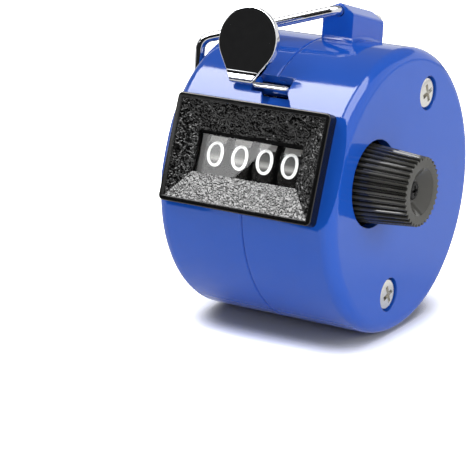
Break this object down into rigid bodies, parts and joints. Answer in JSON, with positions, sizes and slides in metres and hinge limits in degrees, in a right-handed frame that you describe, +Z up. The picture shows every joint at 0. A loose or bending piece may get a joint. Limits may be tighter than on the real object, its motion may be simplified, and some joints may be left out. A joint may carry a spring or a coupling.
{
  "type": "mechanical tally counter",
  "caption": "Hand tally counter: round barrel on its side, number window in front, thumb lever and wire finger ring on top, ribbed reset knob at one end.",
  "frame": {"origin": "middle of the narrow foot flat under the barrel, in the plane where the two casing halves meet", "axes": "+X along the barrel axis towards the reset knob, -Y to the front with the window, +Z up"},
  "size_m": [0.0419, 0.0468, 0.0515],
  "materials": {
    "blue_plastic": "glossy moulded",
    "black_plastic": "satin black moulded",
    "clear_window": "clear polished",
    "wheel_plastic": "glossy black with printed digits",
    "chrome_steel": "bright chrome plate",
    "zinc_steel": "zinc plated",
    "spring_steel": "drawn",
    "brass": "turned",
    "screw_steel": "nickel plated"
  },
  "bodies": {
    "housing": {"casing_left": "blue_plastic", "casing_right": "blue_plastic", "bezel": "black_plastic", "lens": "clear_window", "frame_left": "zinc_steel", "frame_right": "zinc_steel", "frame_spacers": "zinc_steel", "shaft_bush_left": "brass", "shaft_bush_right": "brass", "lever_pivot": "zinc_steel", "detent_rod": "zinc_steel", "return_spring": "spring_steel", "casing_screws": "screw_steel"},
    "lever": {"thumb_lever": "chrome_steel", "pawl_pin": "zinc_steel"},
    "pawl": {"pawl_comb": "spring_steel", "pawl_spring": "spring_steel"},
    "detent": {"detent_comb": "spring_steel"},
    "shaft": {"reset_shaft": "zinc_steel", "reset_knob": "black_plastic", "knob_screw": "screw_steel", "shaft_clip": "spring_steel", "shaft_collars": "brass"},
    "wheel_thousands": {"number_wheel_thousands": "wheel_plastic"},
    "wheel_hundreds": {"number_wheel_hundreds": "wheel_plastic"},
    "wheel_tens": {"number_wheel_tens": "wheel_plastic"},
    "wheel_units": {"number_wheel_units": "wheel_plastic"},
    "ring": {"finger_ring": "chrome_steel"}
  },
  "joints": [
    {"name": "lever_press", "type": "hinge", "parent": "housing", "child": "lever", "pos_m": [-0.001, -0.01151, 0.03663], "axis": [-1, 0, 0], "range_deg": [0, 16], "stiffness_Nm_per_rad": 0.05, "springref_deg": -17.19},
    {"name": "pawl_follow", "type": "hinge", "parent": "lever", "child": "pawl", "pos_m": [-0.001, 0.00456, 0.02854], "axis": [-1, 0, 0], "range_deg": [-8, 0]},
    {"name": "detent_lift", "type": "hinge", "parent": "housing", "child": "detent", "pos_m": [-0.001, -0.00728, 0.01166], "axis": [1, 0, 0], "range_deg": [0, 8], "stiffness_Nm_per_rad": 0.02, "springref_deg": -11.46},
    {"name": "reset_turn", "type": "hinge", "parent": "housing", "child": "shaft", "pos_m": [0, -0.00971, 0.02598], "axis": [-1, 0, 0], "continuous": true},
    {"name": "thousands_turn", "type": "hinge", "parent": "shaft", "child": "wheel_thousands", "pos_m": [-0.008, -0.00971, 0.02598], "axis": [-1, 0, 0], "continuous": true},
    {"name": "hundreds_turn", "type": "hinge", "parent": "shaft", "child": "wheel_hundreds", "pos_m": [-0.00357, -0.00971, 0.02598], "axis": [-1, 0, 0], "continuous": true},
    {"name": "tens_turn", "type": "hinge", "parent": "shaft", "child": "wheel_tens", "pos_m": [0.00086, -0.00971, 0.02598], "axis": [-1, 0, 0], "continuous": true},
    {"name": "units_turn", "type": "hinge", "parent": "shaft", "child": "wheel_units", "pos_m": [0.0053, -0.00971, 0.02598], "axis": [-1, 0, 0], "continuous": true},
    {"name": "ring_swing", "type": "hinge", "parent": "housing", "child": "ring", "pos_m": [0.00283, 0.00032, 0.04952], "axis": [0, 0.9613, -0.2756], "range_deg": [0, 195]}
  ],
  "couplings": [
    {"joint": "pawl_follow", "follows": "lever_press", "ratio": -0.4466},
    {"joint": "units_turn", "follows": "lever_press", "ratio": 2.25}
  ]
}
